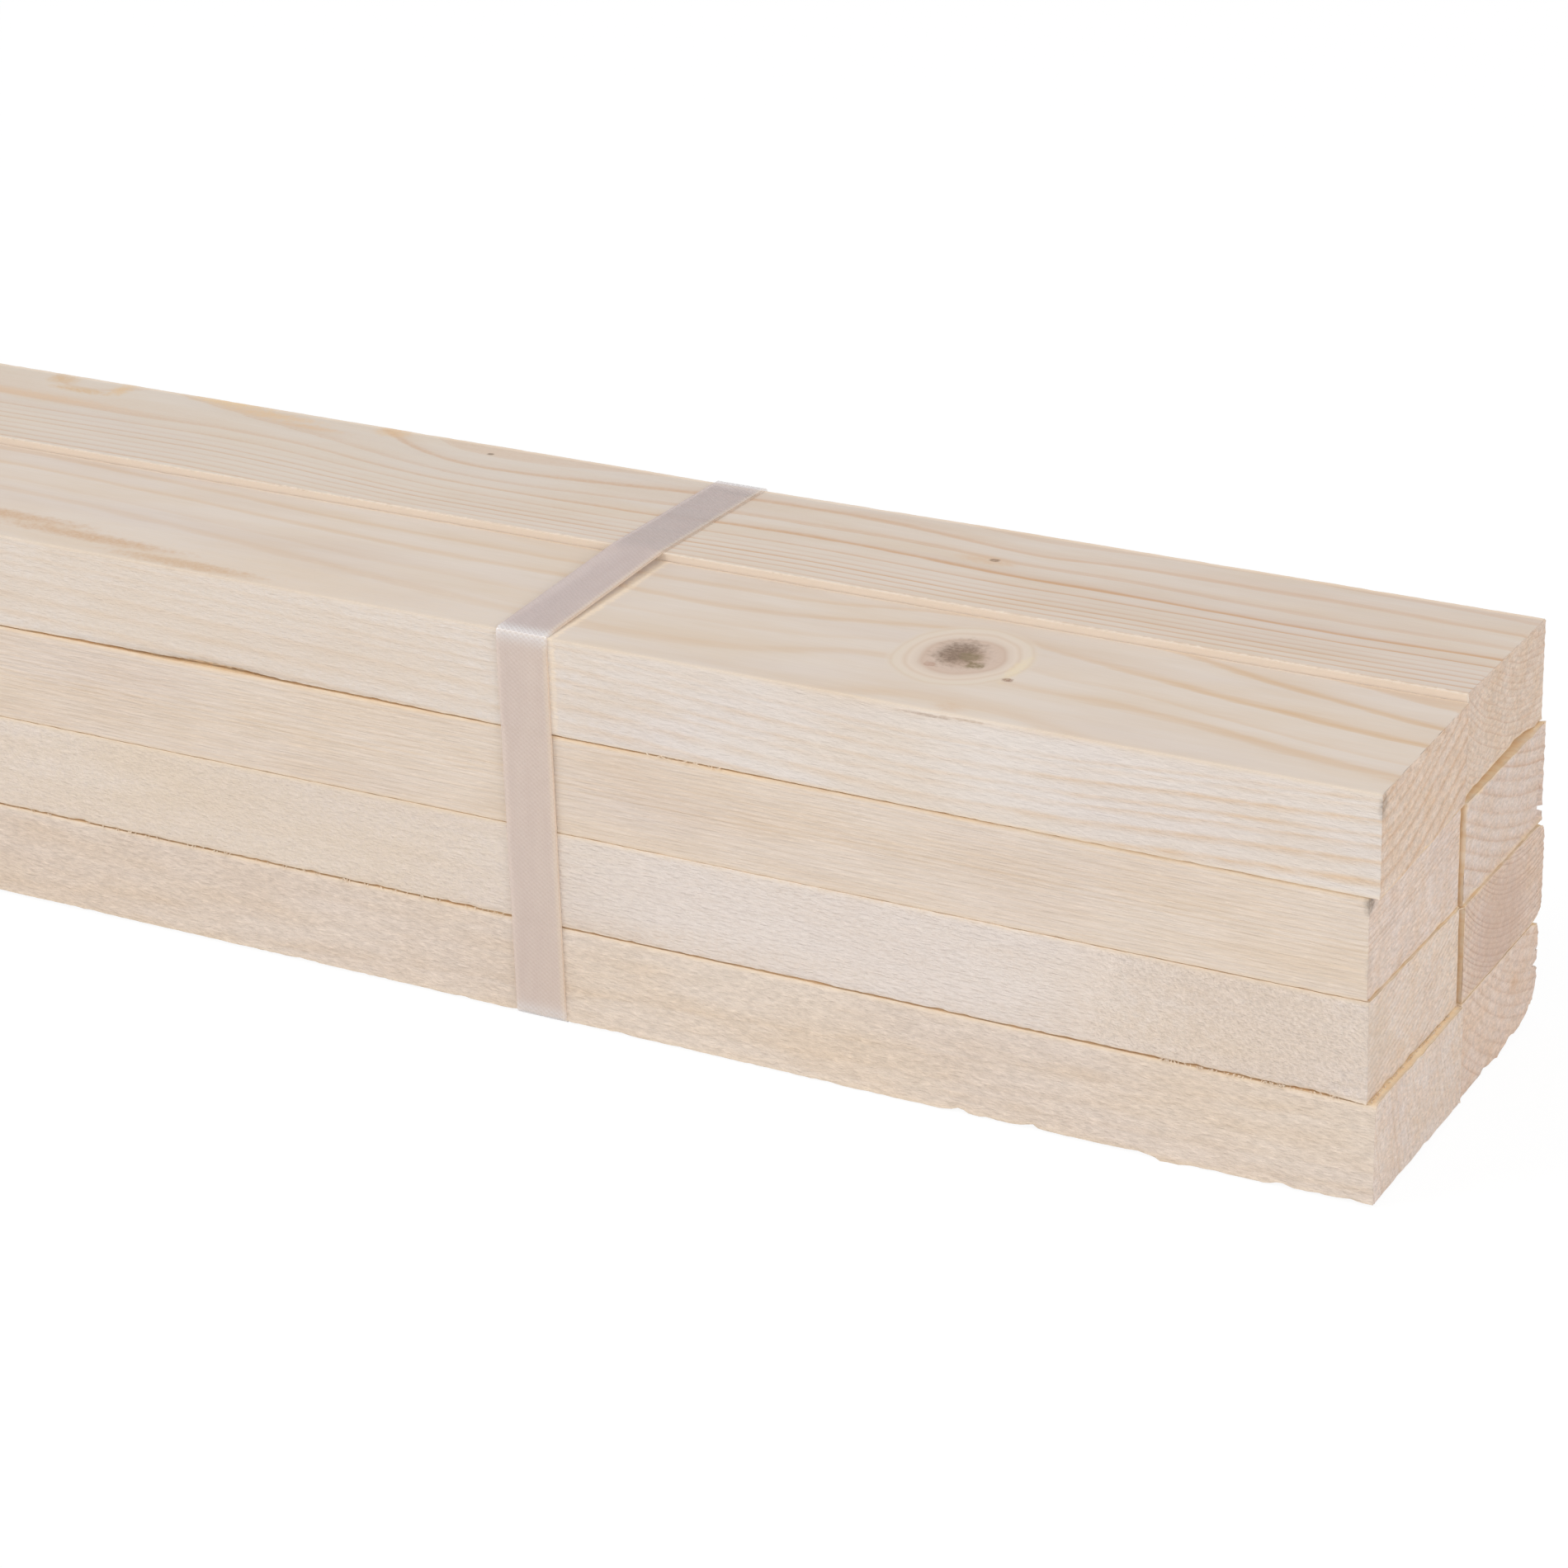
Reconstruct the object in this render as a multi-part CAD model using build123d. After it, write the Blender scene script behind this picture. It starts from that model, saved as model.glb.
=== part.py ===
from build123d import *
import os

# Sizes in millimetres. X runs along the battens, Y from the front of the bundle to its back,
# and Z up. While the stack is laid out, x = 0 is the line that the near ends were knocked up to,
# y = 0 the front of the stack and z = 0 the underside of its bottom battens.

LENGTH = 2000.0
ARRIS = 0.8
QUARTER_ROUND = 0.414

LAYER_2 = 22.0
LAYER_3 = 43.9
LAYER_4 = 66.1
TOP_FRONT = 88.0
TOP_REAR_RAISED = 89.6
TOP_REAR_LOW = 88.2

FRONT_WIDTH = 46.8
TOP_FRONT_WIDTH = 47.6
REAR_START = 47.9
TOP_REAR_START = 47.8
BOTTOM_REAR_END = 92.3
THIRD_REAR_END = 94.0
SECOND_REAR_END = 93.1
TOP_REAR_END = 93.4
BEYOND_END = 4.0

STRAP_WIDTH = 12.0
STRAP_THICKNESS = 0.6
NEAR_STRAP = -187.7
FAR_STRAP = -LENGTH + 190.0
LAP_START = 7.0
LAP_LENGTH = 34.0
WELD_LENGTH = 16.0
WELD_DEPTH = 0.2


def sawn_section(front, rear, base, top_front, top_rear, wane):
    """Outline of one batten in (Y, Z). Each corner is a small arris, or the wane stated for it
    as (reach across, reach up, fullness). Both are conic curves that leave the sawn faces
    smoothly, and a fullness of 1 would be the sharp corner."""
    names = ["bottom_front", "bottom_rear", "top_rear", "top_front"]
    points = [(front, base), (rear, base), (rear, top_rear), (front, top_front)]
    corners = [Vector(*point) for point in points]
    arcs = []
    for index, name in enumerate(names):
        across, up, fullness = wane.get(name, (ARRIS, ARRIS, QUARTER_ROUND))
        lead_in, lead_out = (up, across) if index % 2 == 0 else (across, up)
        corner = corners[index]
        start = corner + (corners[index - 1] - corner).normalized() * lead_in
        end = corner + (corners[(index + 1) % 4] - corner).normalized() * lead_out
        arcs.append((start, corner, end, fullness / (1 - fullness)))
    with BuildLine() as outline:
        for index, (start, corner, end, weight) in enumerate(arcs):
            Bezier(start, corner, end, weights=[1, weight, 1])
            Line(end, arcs[(index + 1) % 4][0])
    return make_face(outline.line)


def cross_section(x, outline):
    """An outline in (Y, Z) stood up square across the batten at x."""
    return Plane(origin=(x, 0, 0), x_dir=(0, 1, 0), z_dir=(1, 0, 0)) * outline


def batten(front, rear, base, top_front, top_rear=None, near=0.0, far=0.0, skew=0.0, wane=None,
           flare=None):
    """One sawn batten, ruled from its near end to its far end. The wane is full at the near end
    and has run out to a plain arris at the far end. near and far move the two ends outwards,
    and skew is how far the saw wandered off square across the near end. A flare, as (across, up,
    length), widens and lifts the rear of the near end, and most of it is lost in its last third."""
    top_rear = top_front if top_rear is None else top_rear
    sections = [cross_section(-LENGTH - far, sawn_section(front, rear, base, top_front, top_rear, {}))]
    if flare:
        across, up, length = flare
        sections.append(cross_section(-length, sawn_section(front, rear, base, top_front, top_rear, {})))
        rear += across
        top_rear += up
        fading = sawn_section(front, rear - across / 4, base, top_front, top_rear - up / 4, {})
        sections.append(cross_section(-length * 2 / 3, fading))
    width = rear - front
    near_plane = Plane(
        origin=(near + skew * front / width, 0, 0),
        x_dir=(-skew, width, 0),
        z_dir=(width, skew, 0),
    )
    sections.append(near_plane * sawn_section(front, rear, base, top_front, top_rear, wane or {}))
    return loft(sections, ruled=True)


def tear_out(face_y, height, depth, rise, length):
    """A groove where the grain tore out of a rear face: a notch in the near end that gets
    shallower along the batten and runs out after its length."""
    lead = depth * BEYOND_END / length
    notch = Polyline(
        (face_y + 1.0, height + rise * 0.8),
        (face_y - depth - lead, height),
        (face_y + 1.0, height - rise * 0.4),
        close=True,
    )
    direction = Vector(-length, depth + 1.0, 0)
    start = cross_section(BEYOND_END, make_face(notch))
    return extrude(start, amount=direction.length * 1.1, dir=direction)


def hollow(base, length, roof):
    """A shallow hollow under a batten, deepest at the near end, where the saw skipped. roof is
    its outline across the batten, as (Y, height above the base)."""
    crest = [(across, base + height) for across, height in roof]
    deepest = max(height for across, height in roof)
    first, last = crest[0], crest[-1]
    below = Polyline(last, (last[0], base - deepest), (first[0], base - deepest), first)
    direction = Vector(-length, 0, -deepest)
    start = cross_section(BEYOND_END, make_face([Spline(*crest), below]))
    return extrude(start, amount=direction.length, dir=direction)


def bottom_battens():
    front = batten(0.0, FRONT_WIDTH + 0.4, 0.0, LAYER_2, near=1.8, far=-0.9,
                   wane={"top_front": (3.0, 1.1, 0.5)})
    rear = batten(REAR_START - 0.5, BOTTOM_REAR_END, 0.0, LAYER_2, near=1.2, far=1.9,
                  wane={"bottom_rear": (21.0, 11.0, 0.58), "top_rear": (5.0, 3.2, QUARTER_ROUND)})
    rear -= tear_out(BOTTOM_REAR_END, height=14.9, depth=2.6, rise=1.2, length=180.0)
    rear -= tear_out(BOTTOM_REAR_END, height=11.4, depth=3.8, rise=1.7, length=260.0)
    return {"batten_bottom_front": front, "batten_bottom_rear": rear}


def third_battens():
    front = batten(0.1, FRONT_WIDTH - 0.2, LAYER_2, LAYER_3, near=-0.3, far=1.1,
                   wane={"bottom_front": (1.6, 0.9, QUARTER_ROUND)})
    rear = batten(REAR_START, THIRD_REAR_END, LAYER_2, LAYER_3, near=1.0, far=-1.3,
                  wane={"top_rear": (5.8, 3.4, 0.45), "bottom_rear": (6.4, 2.6, 0.45)})
    return {"batten_third_front": front, "batten_third_rear": rear}


def second_battens():
    front = batten(0.3, FRONT_WIDTH, LAYER_3, LAYER_4, near=-0.3, far=-1.8,
                   wane={"top_front": (1.8, 1.0, QUARTER_ROUND)})
    rear = batten(REAR_START, SECOND_REAR_END, LAYER_3, LAYER_4, near=0.4, far=0.6,
                  wane={"top_rear": (2.4, 5.5, 0.3), "bottom_rear": (1.8, 3.0, 0.3)})
    rear -= tear_out(SECOND_REAR_END, height=58.0, depth=2.2, rise=2.2, length=150.0)
    rear -= tear_out(SECOND_REAR_END, height=54.0, depth=2.4, rise=1.8, length=220.0)
    rear -= tear_out(SECOND_REAR_END, height=50.7, depth=2.4, rise=1.0, length=130.0)
    rear -= tear_out(SECOND_REAR_END, height=47.0, depth=1.4, rise=1.5, length=120.0)
    return {"batten_second_front": front, "batten_second_rear": rear}


def top_battens():
    front = batten(0.0, TOP_FRONT_WIDTH, LAYER_4, TOP_FRONT, near=1.6, far=0.2, skew=1.1)
    rear = batten(TOP_REAR_START, TOP_REAR_END, LAYER_4, TOP_REAR_RAISED, TOP_REAR_LOW, near=0.0,
                  far=1.5, skew=0.6, flare=(0.3, 0.35, 178.0))
    roof = [(TOP_REAR_START - 1.0, 1.1), (56.0, 1.4), (68.0, 1.7), (77.0, 1.8), (84.0, 1.4), (88.6, -0.2)]
    rear -= hollow(LAYER_4, length=380.0, roof=roof)
    return {"batten_top_front": front, "batten_top_rear": rear}


def strap(centre_x):
    """One polypropylene strap, pulled tight round the stack, with its ends lapped and friction
    welded on the back."""
    top_back = Vector(TOP_REAR_END, TOP_REAR_LOW)
    back_upper = Vector(THIRD_REAR_END, LAYER_3 - ARRIS)
    stack = Polyline(
        (0.0, 0.0),
        (0.0, TOP_FRONT),
        (TOP_REAR_START, TOP_REAR_RAISED),
        top_back,
        back_upper,
        (THIRD_REAR_END, LAYER_2 + ARRIS),
        (BOTTOM_REAR_END, 0.0),
        close=True,
    )
    inside = make_face(stack)
    bends = [v for v in inside.vertices() if v.Y < ARRIS or v.Y > TOP_FRONT - ARRIS]
    bends = [v for v in bends if not REAR_START - 1 < v.X < REAR_START + 1]
    inside = fillet(bends, ARRIS)
    band = offset(inside, STRAP_THICKNESS) - inside
    down = (back_upper - top_back).normalized()
    out = Vector(-down.Y, down.X)
    lap_top = top_back + down * LAP_START + out * STRAP_THICKNESS
    lap_bottom = lap_top + down * LAP_LENGTH
    weld_top = lap_top + down * (LAP_LENGTH - WELD_LENGTH) / 2
    weld_bottom = weld_top + down * WELD_LENGTH
    lap = Polyline(
        lap_top,
        lap_top + out * STRAP_THICKNESS,
        weld_top + out * STRAP_THICKNESS,
        weld_top + out * (STRAP_THICKNESS - WELD_DEPTH),
        weld_bottom + out * (STRAP_THICKNESS - WELD_DEPTH),
        weld_bottom + out * STRAP_THICKNESS,
        lap_bottom + out * STRAP_THICKNESS,
        lap_bottom,
        close=True,
    )
    section = band + make_face(lap)
    return extrude(cross_section(centre_x - STRAP_WIDTH / 2, section), amount=STRAP_WIDTH)


def bundle():
    nodes = {}
    for layer in (bottom_battens(), third_battens(), second_battens(), top_battens()):
        nodes.update(layer)
    nodes["strap_near"] = strap(NEAR_STRAP)
    nodes["strap_far"] = strap(FAR_STRAP)
    return nodes


def main():
    """Moves the stack so that the origin is the middle of its footprint, at floor level, and
    writes one file for each piece."""
    nodes = bundle()
    box = Compound([solid for node in nodes.values() for solid in node.solids()]).bounding_box()
    to_origin = Pos(-box.center().X, -box.center().Y, -box.min.Z)
    os.makedirs("parts", exist_ok=True)
    for name, node in nodes.items():
        export_step(to_origin * node, f"parts/{name}.step")
        print(name, f"{node.volume:.0f} mm3")
    print("origin moved by", to_origin.position)


main()
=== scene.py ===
import math

import bpy
import numpy as np
from mathutils import Matrix, Vector
from mathutils.bvhtree import BVHTree
from mathutils.geometry import delaunay_2d_cdt


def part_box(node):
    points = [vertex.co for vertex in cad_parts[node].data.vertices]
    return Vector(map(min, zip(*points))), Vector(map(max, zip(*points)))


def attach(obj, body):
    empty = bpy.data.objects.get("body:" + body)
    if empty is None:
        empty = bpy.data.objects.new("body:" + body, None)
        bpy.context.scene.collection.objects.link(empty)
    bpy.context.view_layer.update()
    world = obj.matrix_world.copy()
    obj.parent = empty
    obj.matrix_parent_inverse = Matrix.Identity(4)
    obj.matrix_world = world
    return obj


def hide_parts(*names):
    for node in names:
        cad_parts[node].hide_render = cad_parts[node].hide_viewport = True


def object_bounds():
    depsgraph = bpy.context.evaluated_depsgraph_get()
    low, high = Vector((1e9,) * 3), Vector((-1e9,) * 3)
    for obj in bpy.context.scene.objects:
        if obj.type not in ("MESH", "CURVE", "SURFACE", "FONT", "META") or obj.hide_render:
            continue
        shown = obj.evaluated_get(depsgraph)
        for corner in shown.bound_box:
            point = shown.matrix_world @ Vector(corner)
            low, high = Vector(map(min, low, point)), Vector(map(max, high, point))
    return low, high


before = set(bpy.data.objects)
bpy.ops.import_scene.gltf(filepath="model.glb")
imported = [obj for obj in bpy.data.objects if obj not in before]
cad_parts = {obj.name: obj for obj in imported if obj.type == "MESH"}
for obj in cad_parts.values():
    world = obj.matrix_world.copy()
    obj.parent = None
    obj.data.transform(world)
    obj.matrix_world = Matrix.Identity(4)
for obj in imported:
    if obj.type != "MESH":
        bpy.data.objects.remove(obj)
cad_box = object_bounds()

# The two bottom battens. Each is one length of spruce, ripped from the log with a coarse saw to about
# 22 by 48 mm and cross-cut at both ends, and nothing is planed. They lie side by side on the straps
# and carry the rest. The rear one keeps the wane of the log along its lower back edge.

MM = 0.001
# Places are in mm in the bundle: x is 0 at the line that the near ends were knocked up to, and y and z
# are 0 at the front of the stack and at the underside of its bottom battens.
FURTHEST_END = 1.8
BUNDLE_CORNER = Vector((
    cad_box[1].x / MM - FURTHEST_END,
    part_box("batten_top_front")[0].y / MM,
    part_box("batten_bottom_front")[0].z / MM,
))

lattice = np.random.default_rng(48).uniform(-1, 1, (509, 61, 61))


def noise(x, y, z, seed=0):
    """Smooth random waves between -1 and 1 in space, about two units long. Each seed has its own."""
    places = np.broadcast_arrays(x + 17.31 * seed, y + 5.77 * seed, z + 9.13 * seed)
    cells = [np.floor(place).astype(int) for place in places]
    parts = [place - cell for place, cell in zip(places, cells)]
    eased = [part * part * (3 - 2 * part) for part in parts]
    total = 0.0
    for corner in np.ndindex(2, 2, 2):
        weight = 1.0
        index = []
        for step, cell, share, size in zip(corner, cells, eased, lattice.shape):
            weight = weight * (share if step else 1 - share)
            index.append((cell + step) % size)
        total = total + weight * lattice[tuple(index)]
    return total


def ease(low, high, value):
    """0 up to low, 1 from high on, and smooth between them."""
    share = np.clip((value - low) / (high - low), 0, 1)
    return share * share * (3 - 2 * share)


# Across one year's ring, how much of it is dark, hard latewood. It builds up slowly and ends at once.
RING_PARTS = (0.0, 0.06, 0.4, 0.74, 0.91, 1.0)
LATEWOOD = (0.7, 0.0, 0.0, 0.25, 1.0, 0.7)


def latewood(rings):
    return np.interp(rings % 1.0, RING_PARTS, LATEWOOD)


def rings_round(pith_y, pith_z, width, seed, lean=(0.0, 0.0), wander=0.6):
    """Growth rings round a pith that runs along the batten at (pith_y, pith_z) mm in the bundle and
    leans by so many mm in each mm. Gives the number of each point's ring, with its fraction."""
    def rings(x, y, z):
        across = y - pith_y - lean[0] * x
        up = z - pith_z - lean[1] * x
        radius = np.hypot(across, up)
        radius = radius + wander * noise(x / 95, y / 30, z / 30, seed)
        radius = radius + 0.25 * wander * noise(x / 28, y / 12, z / 12, seed + 1)
        return radius / width + 0.5 * noise(radius / (2.2 * width), 0.0, 0.0, seed + 2)
    return rings


def side_places(length, step):
    """Places along a side of a section: close together at its two arrises and a step apart between."""
    close = np.array([0.0, 0.2, 0.45, 0.8, 1.3])
    room = length - 2 * close[-1]
    middle = close[-1] + np.linspace(0, room, max(2, round(room / step)) + 1)[1:-1]
    return np.concatenate([close, middle, length - close[::-1]])[:-1]


def solid_of(node):
    """A CAD node as a tree for casting rays, and its corners, in mm in the bundle."""
    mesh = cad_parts[node].data
    points = [vertex.co / MM - BUNDLE_CORNER for vertex in mesh.vertices]
    tree = BVHTree.FromPolygons(points, [tuple(polygon.vertices) for polygon in mesh.polygons])
    return tree, np.min(points, axis=0), np.max(points, axis=0)


FACES = ("bottom", "rear", "top", "front")
# How far apart the points are across a face inside the stack.
HIDDEN = 3.0
# The way inwards points to the nearest place of a core, which is this far inside the section's box.
CORE_INSET = 10.0


def walk_round(low, high, steps):
    """A walk round the box of a section: the (Y, Z) places, the way inwards at each, the number of
    its face, and how far it is from the nearest arris and which one that is."""
    box = np.array([(low[1], low[2]), (high[1], low[2]), (high[1], high[2]), (low[1], high[2])])
    places, face, to_arris, arris = [], [], [], []
    for side, name in enumerate(FACES):
        start, end = box[side], box[(side + 1) % 4]
        length = np.linalg.norm(end - start)
        along = side_places(length, steps.get(name, HIDDEN))
        places.append(start + (end - start) * (along / length)[:, None])
        face += [side] * len(along)
        to_arris.append(np.minimum(along, length - along))
        arris.append(np.where(along < length / 2, side, (side + 1) % 4))
    places = np.vstack(places)
    core = np.clip(places, box[0] + CORE_INSET, box[2] - CORE_INSET)
    inward = (core - places) / np.linalg.norm(core - places, axis=1)[:, None]
    return places, inward, np.array(face), np.concatenate(to_arris), np.concatenate(arris)


def end_face(outline, spacing, seed):
    """Fills an outline with a jittered grid of points. Gives those points and the triangles."""
    low, high = outline.min(0), outline.max(0)
    counts = np.ceil((high - low) / spacing).astype(int)
    grid = np.stack(np.meshgrid(*[np.arange(count) for count in counts]), axis=-1).reshape(-1, 2)
    shake = np.random.default_rng(seed).uniform(-0.28, 0.28, grid.shape)
    grid = low + (grid + 0.5 + shake) * spacing
    start, end = outline, np.roll(outline, -1, axis=0)
    edge = end - start
    offset = grid[:, None, :] - start[None]
    share = np.clip((offset * edge).sum(2) / (edge * edge).sum(1), 0, 1)
    gap = np.linalg.norm(offset - share[..., None] * edge, axis=2).min(1)
    crosses = (start[None, :, 1] > grid[:, None, 1]) != (end[None, :, 1] > grid[:, None, 1])
    reach = start[:, 0] + offset[..., 1] * edge[:, 0] / np.where(edge[:, 1] == 0, 1e-9, edge[:, 1])
    inside = (crosses & (grid[:, None, 0] < reach)).sum(1) % 2 == 1
    grid = grid[inside & (gap > 0.55 * spacing)]
    points = [Vector(point) for point in np.vstack([outline, grid])]
    _, _, triangles, origin, _, _ = delaunay_2d_cdt(points, [], [list(range(len(outline)))], 1, 1e-6)
    return grid, [[origin[corner][0] for corner in triangle] for triangle in triangles]


def slivers(bunches, width, seed):
    """Torn fibres that stand off an edge: thin tapered strips with three sides, each slightly bent.
    A bunch is rooted along a line from its start to its end, and leans by so much, give or take its
    spread."""
    random = np.random.default_rng(seed)
    roots, tips = [], []
    for start, end, count, lean, spread in bunches:
        for share in random.uniform(0, 1, count):
            roots.append(np.array(start) * (1 - share) + np.array(end) * share)
            tips.append(roots[-1] + lean + np.array(spread) * random.uniform(-1, 1, 3))
    points, faces = [], []
    for root, tip in zip(roots, tips):
        run = tip - root
        side = np.cross(run, random.normal(size=3))
        side *= width * random.uniform(0.6, 1.4) / np.linalg.norm(side)
        other = np.cross(run, side) / np.linalg.norm(run)
        sag = random.normal(size=3) * np.linalg.norm(run) * 0.08
        first = len(points)
        for share, thick in ((0.0, 1.0), (0.5, 0.7)):
            centre = root + run * share + sag * share
            points += [centre + side * thick, centre - 0.5 * side * thick + other * thick]
            points += [centre - 0.5 * side * thick - other * thick]
        points.append(tip)
        for side_number in range(3):
            one, two = first + side_number, first + (side_number + 1) % 3
            faces += [(one, two, two + 3, one + 3), (one + 3, two + 3, first + 6)]
        faces.append((first + 2, first + 1, first))
    return points, faces


SHARP_EDGE = math.radians(50)


def skin_piece(name, points, polygons, facts, material):
    """A skin from its points in mm in the bundle and its polygons. Each point keeps its facts."""
    mesh = bpy.data.meshes.new(name)
    mesh.from_pydata(((points + np.array(BUNDLE_CORNER)) * MM).tolist(), [], polygons)
    for fact, values in facts.items():
        layer = mesh.attributes.new(fact, "FLOAT", "POINT")
        layer.data.foreach_set("value", values.astype(np.float32))
    mesh.shade_smooth()
    mesh.set_sharp_from_angle(angle=SHARP_EDGE)
    mesh.materials.append(material)
    piece = bpy.data.objects.new(name, mesh)
    bpy.context.scene.collection.objects.link(piece)
    return piece


def close_rows(near_step, dense_to, far_step, length):
    """Distances from the near end of the rows of points along a batten."""
    start = np.array([0.0, 0.18, 0.5])
    near = np.arange(1.0, dense_to, near_step)
    fade = np.arange(dense_to, dense_to + 60, 2.5 * near_step)
    end = length - np.array([9.0, 4.0, 1.6, 0.6, 0.18, 0.0])
    far = np.arange(dense_to + 60, end[0] - far_step / 2, far_step)
    return np.concatenate([start, near, fade, far, end])


# Rays towards a solid start this far outside its sides and beyond its ends. The outline of an end is
# taken this far behind it.
OUTSIDE = 6.0
BEYOND_END = 9.0
BEHIND_END = 3.0
# Distances from the near end at which the solid is measured, besides the far end.
MEASURED_AT = (0.05, 8, 20, 40, 60, 80, 100, 120, 150, 180, 220, 260, 300, 380, 500, 900, 1400)


def sides_of(tree, low, high, places, inward, rows, proud):
    """The points of a batten's sides on its solid: X, Y and Z by row and column, the X of the near and
    of the far end in each column, and the outline that the far end was measured on."""
    length = high[0] - low[0]
    columns = range(len(places))

    def skin(x, column):
        """The (Y, Z) place where the ray of a column meets the solid at x."""
        origin = Vector((x, *(places[column] - OUTSIDE * inward[column])))
        hit = tree.ray_cast(origin, Vector((0, *inward[column])))[0]
        return hit.yz if hit else Vector(places[column])

    just_inside = np.array([skin(high[0] - BEHIND_END, column) for column in columns]) + 0.5 * inward
    near_start = high[0] + BEYOND_END
    near_x = np.array([tree.ray_cast(Vector((near_start, *point)), Vector((-1, 0, 0)))[0].x
                       for point in just_inside])
    to_rear, to_top = ((just_inside - low[1:]) / (high - low)[1:]).T
    near_x = near_x + proud[0] + proud[1] * to_rear + proud[2] * (1 - to_top)
    just_inside = np.array([skin(low[0] + BEHIND_END, column) for column in columns]) + 0.5 * inward
    far_start = low[0] - BEYOND_END
    far_x = np.array([tree.ray_cast(Vector((far_start, *point)), Vector((1, 0, 0)))[0].x
                      for point in just_inside])
    stations = np.array([*MEASURED_AT, length - MEASURED_AT[0]])
    taken = np.array([[skin(near_x[column] + (far_x[column] - near_x[column]) * station / length,
                            column) for station in stations] for column in columns])
    y = np.array([np.interp(rows, stations, taken[column, :, 0]) for column in columns]).T
    z = np.array([np.interp(rows, stations, taken[column, :, 1]) for column in columns]).T
    x = near_x + (far_x - near_x) * (rows / length)[:, None]
    return x, y, z, near_x, far_x, just_inside


def fibre_relief(x, y, z, rough, woolly, earlywood, fibre, seed):
    """How deep a sawn face is torn: along the soft earlywood, in streaks and in woolly lumps, with
    the chatter of the saw."""
    streak = 0.5 + 0.5 * noise(x / (0.5 * fibre[1]), y / 0.6, z / 0.6, seed + 5)
    chatter = 0.5 + 0.5 * noise(x / 4.5, y / 20, z / 20, seed + 6)
    lump = 0.5 + 0.5 * noise(x / 0.9, y / 0.55, z / 0.55, seed + 7)
    depth = rough * (1 - woolly) * (earlywood + fibre[0] * streak) + 0.03 * rough * chatter
    return depth + 0.36 * woolly * lump


def bites(x, arris, seed):
    """How much is bitten out of an arris: in long shallow bites with shorter ones between."""
    bite = np.maximum(0, noise(x / 3.3, arris * 7.7, 0.5, seed + 8) - 0.1)
    return bite + 0.7 * np.maximum(0, noise(x / 1.2, arris * 3.3, 2.5, seed + 9) - 0.1)


# A sawn arris is sharper than that of the solid, so the skin swells by this much along it.
ARRIS_SWELL = 0.31
# What each point of a batten's skin knows about itself, for its material.
FACTS = ("ring", "sawn", "wool", "arris", "inner", "deep", "bold", "end")
# Nothing of a batten stands further out, in front or below, than a strap is thick.
FURTHEST_OUT = -0.6
HIDDEN_ROUGHNESS = 0.35
# How far apart the points of the end faces are, and how thick a torn fibre is.
NEAR_END_STEP = 0.5
FAR_END_STEP = 1.1
FIBRE_THICKNESS = 0.1


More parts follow.
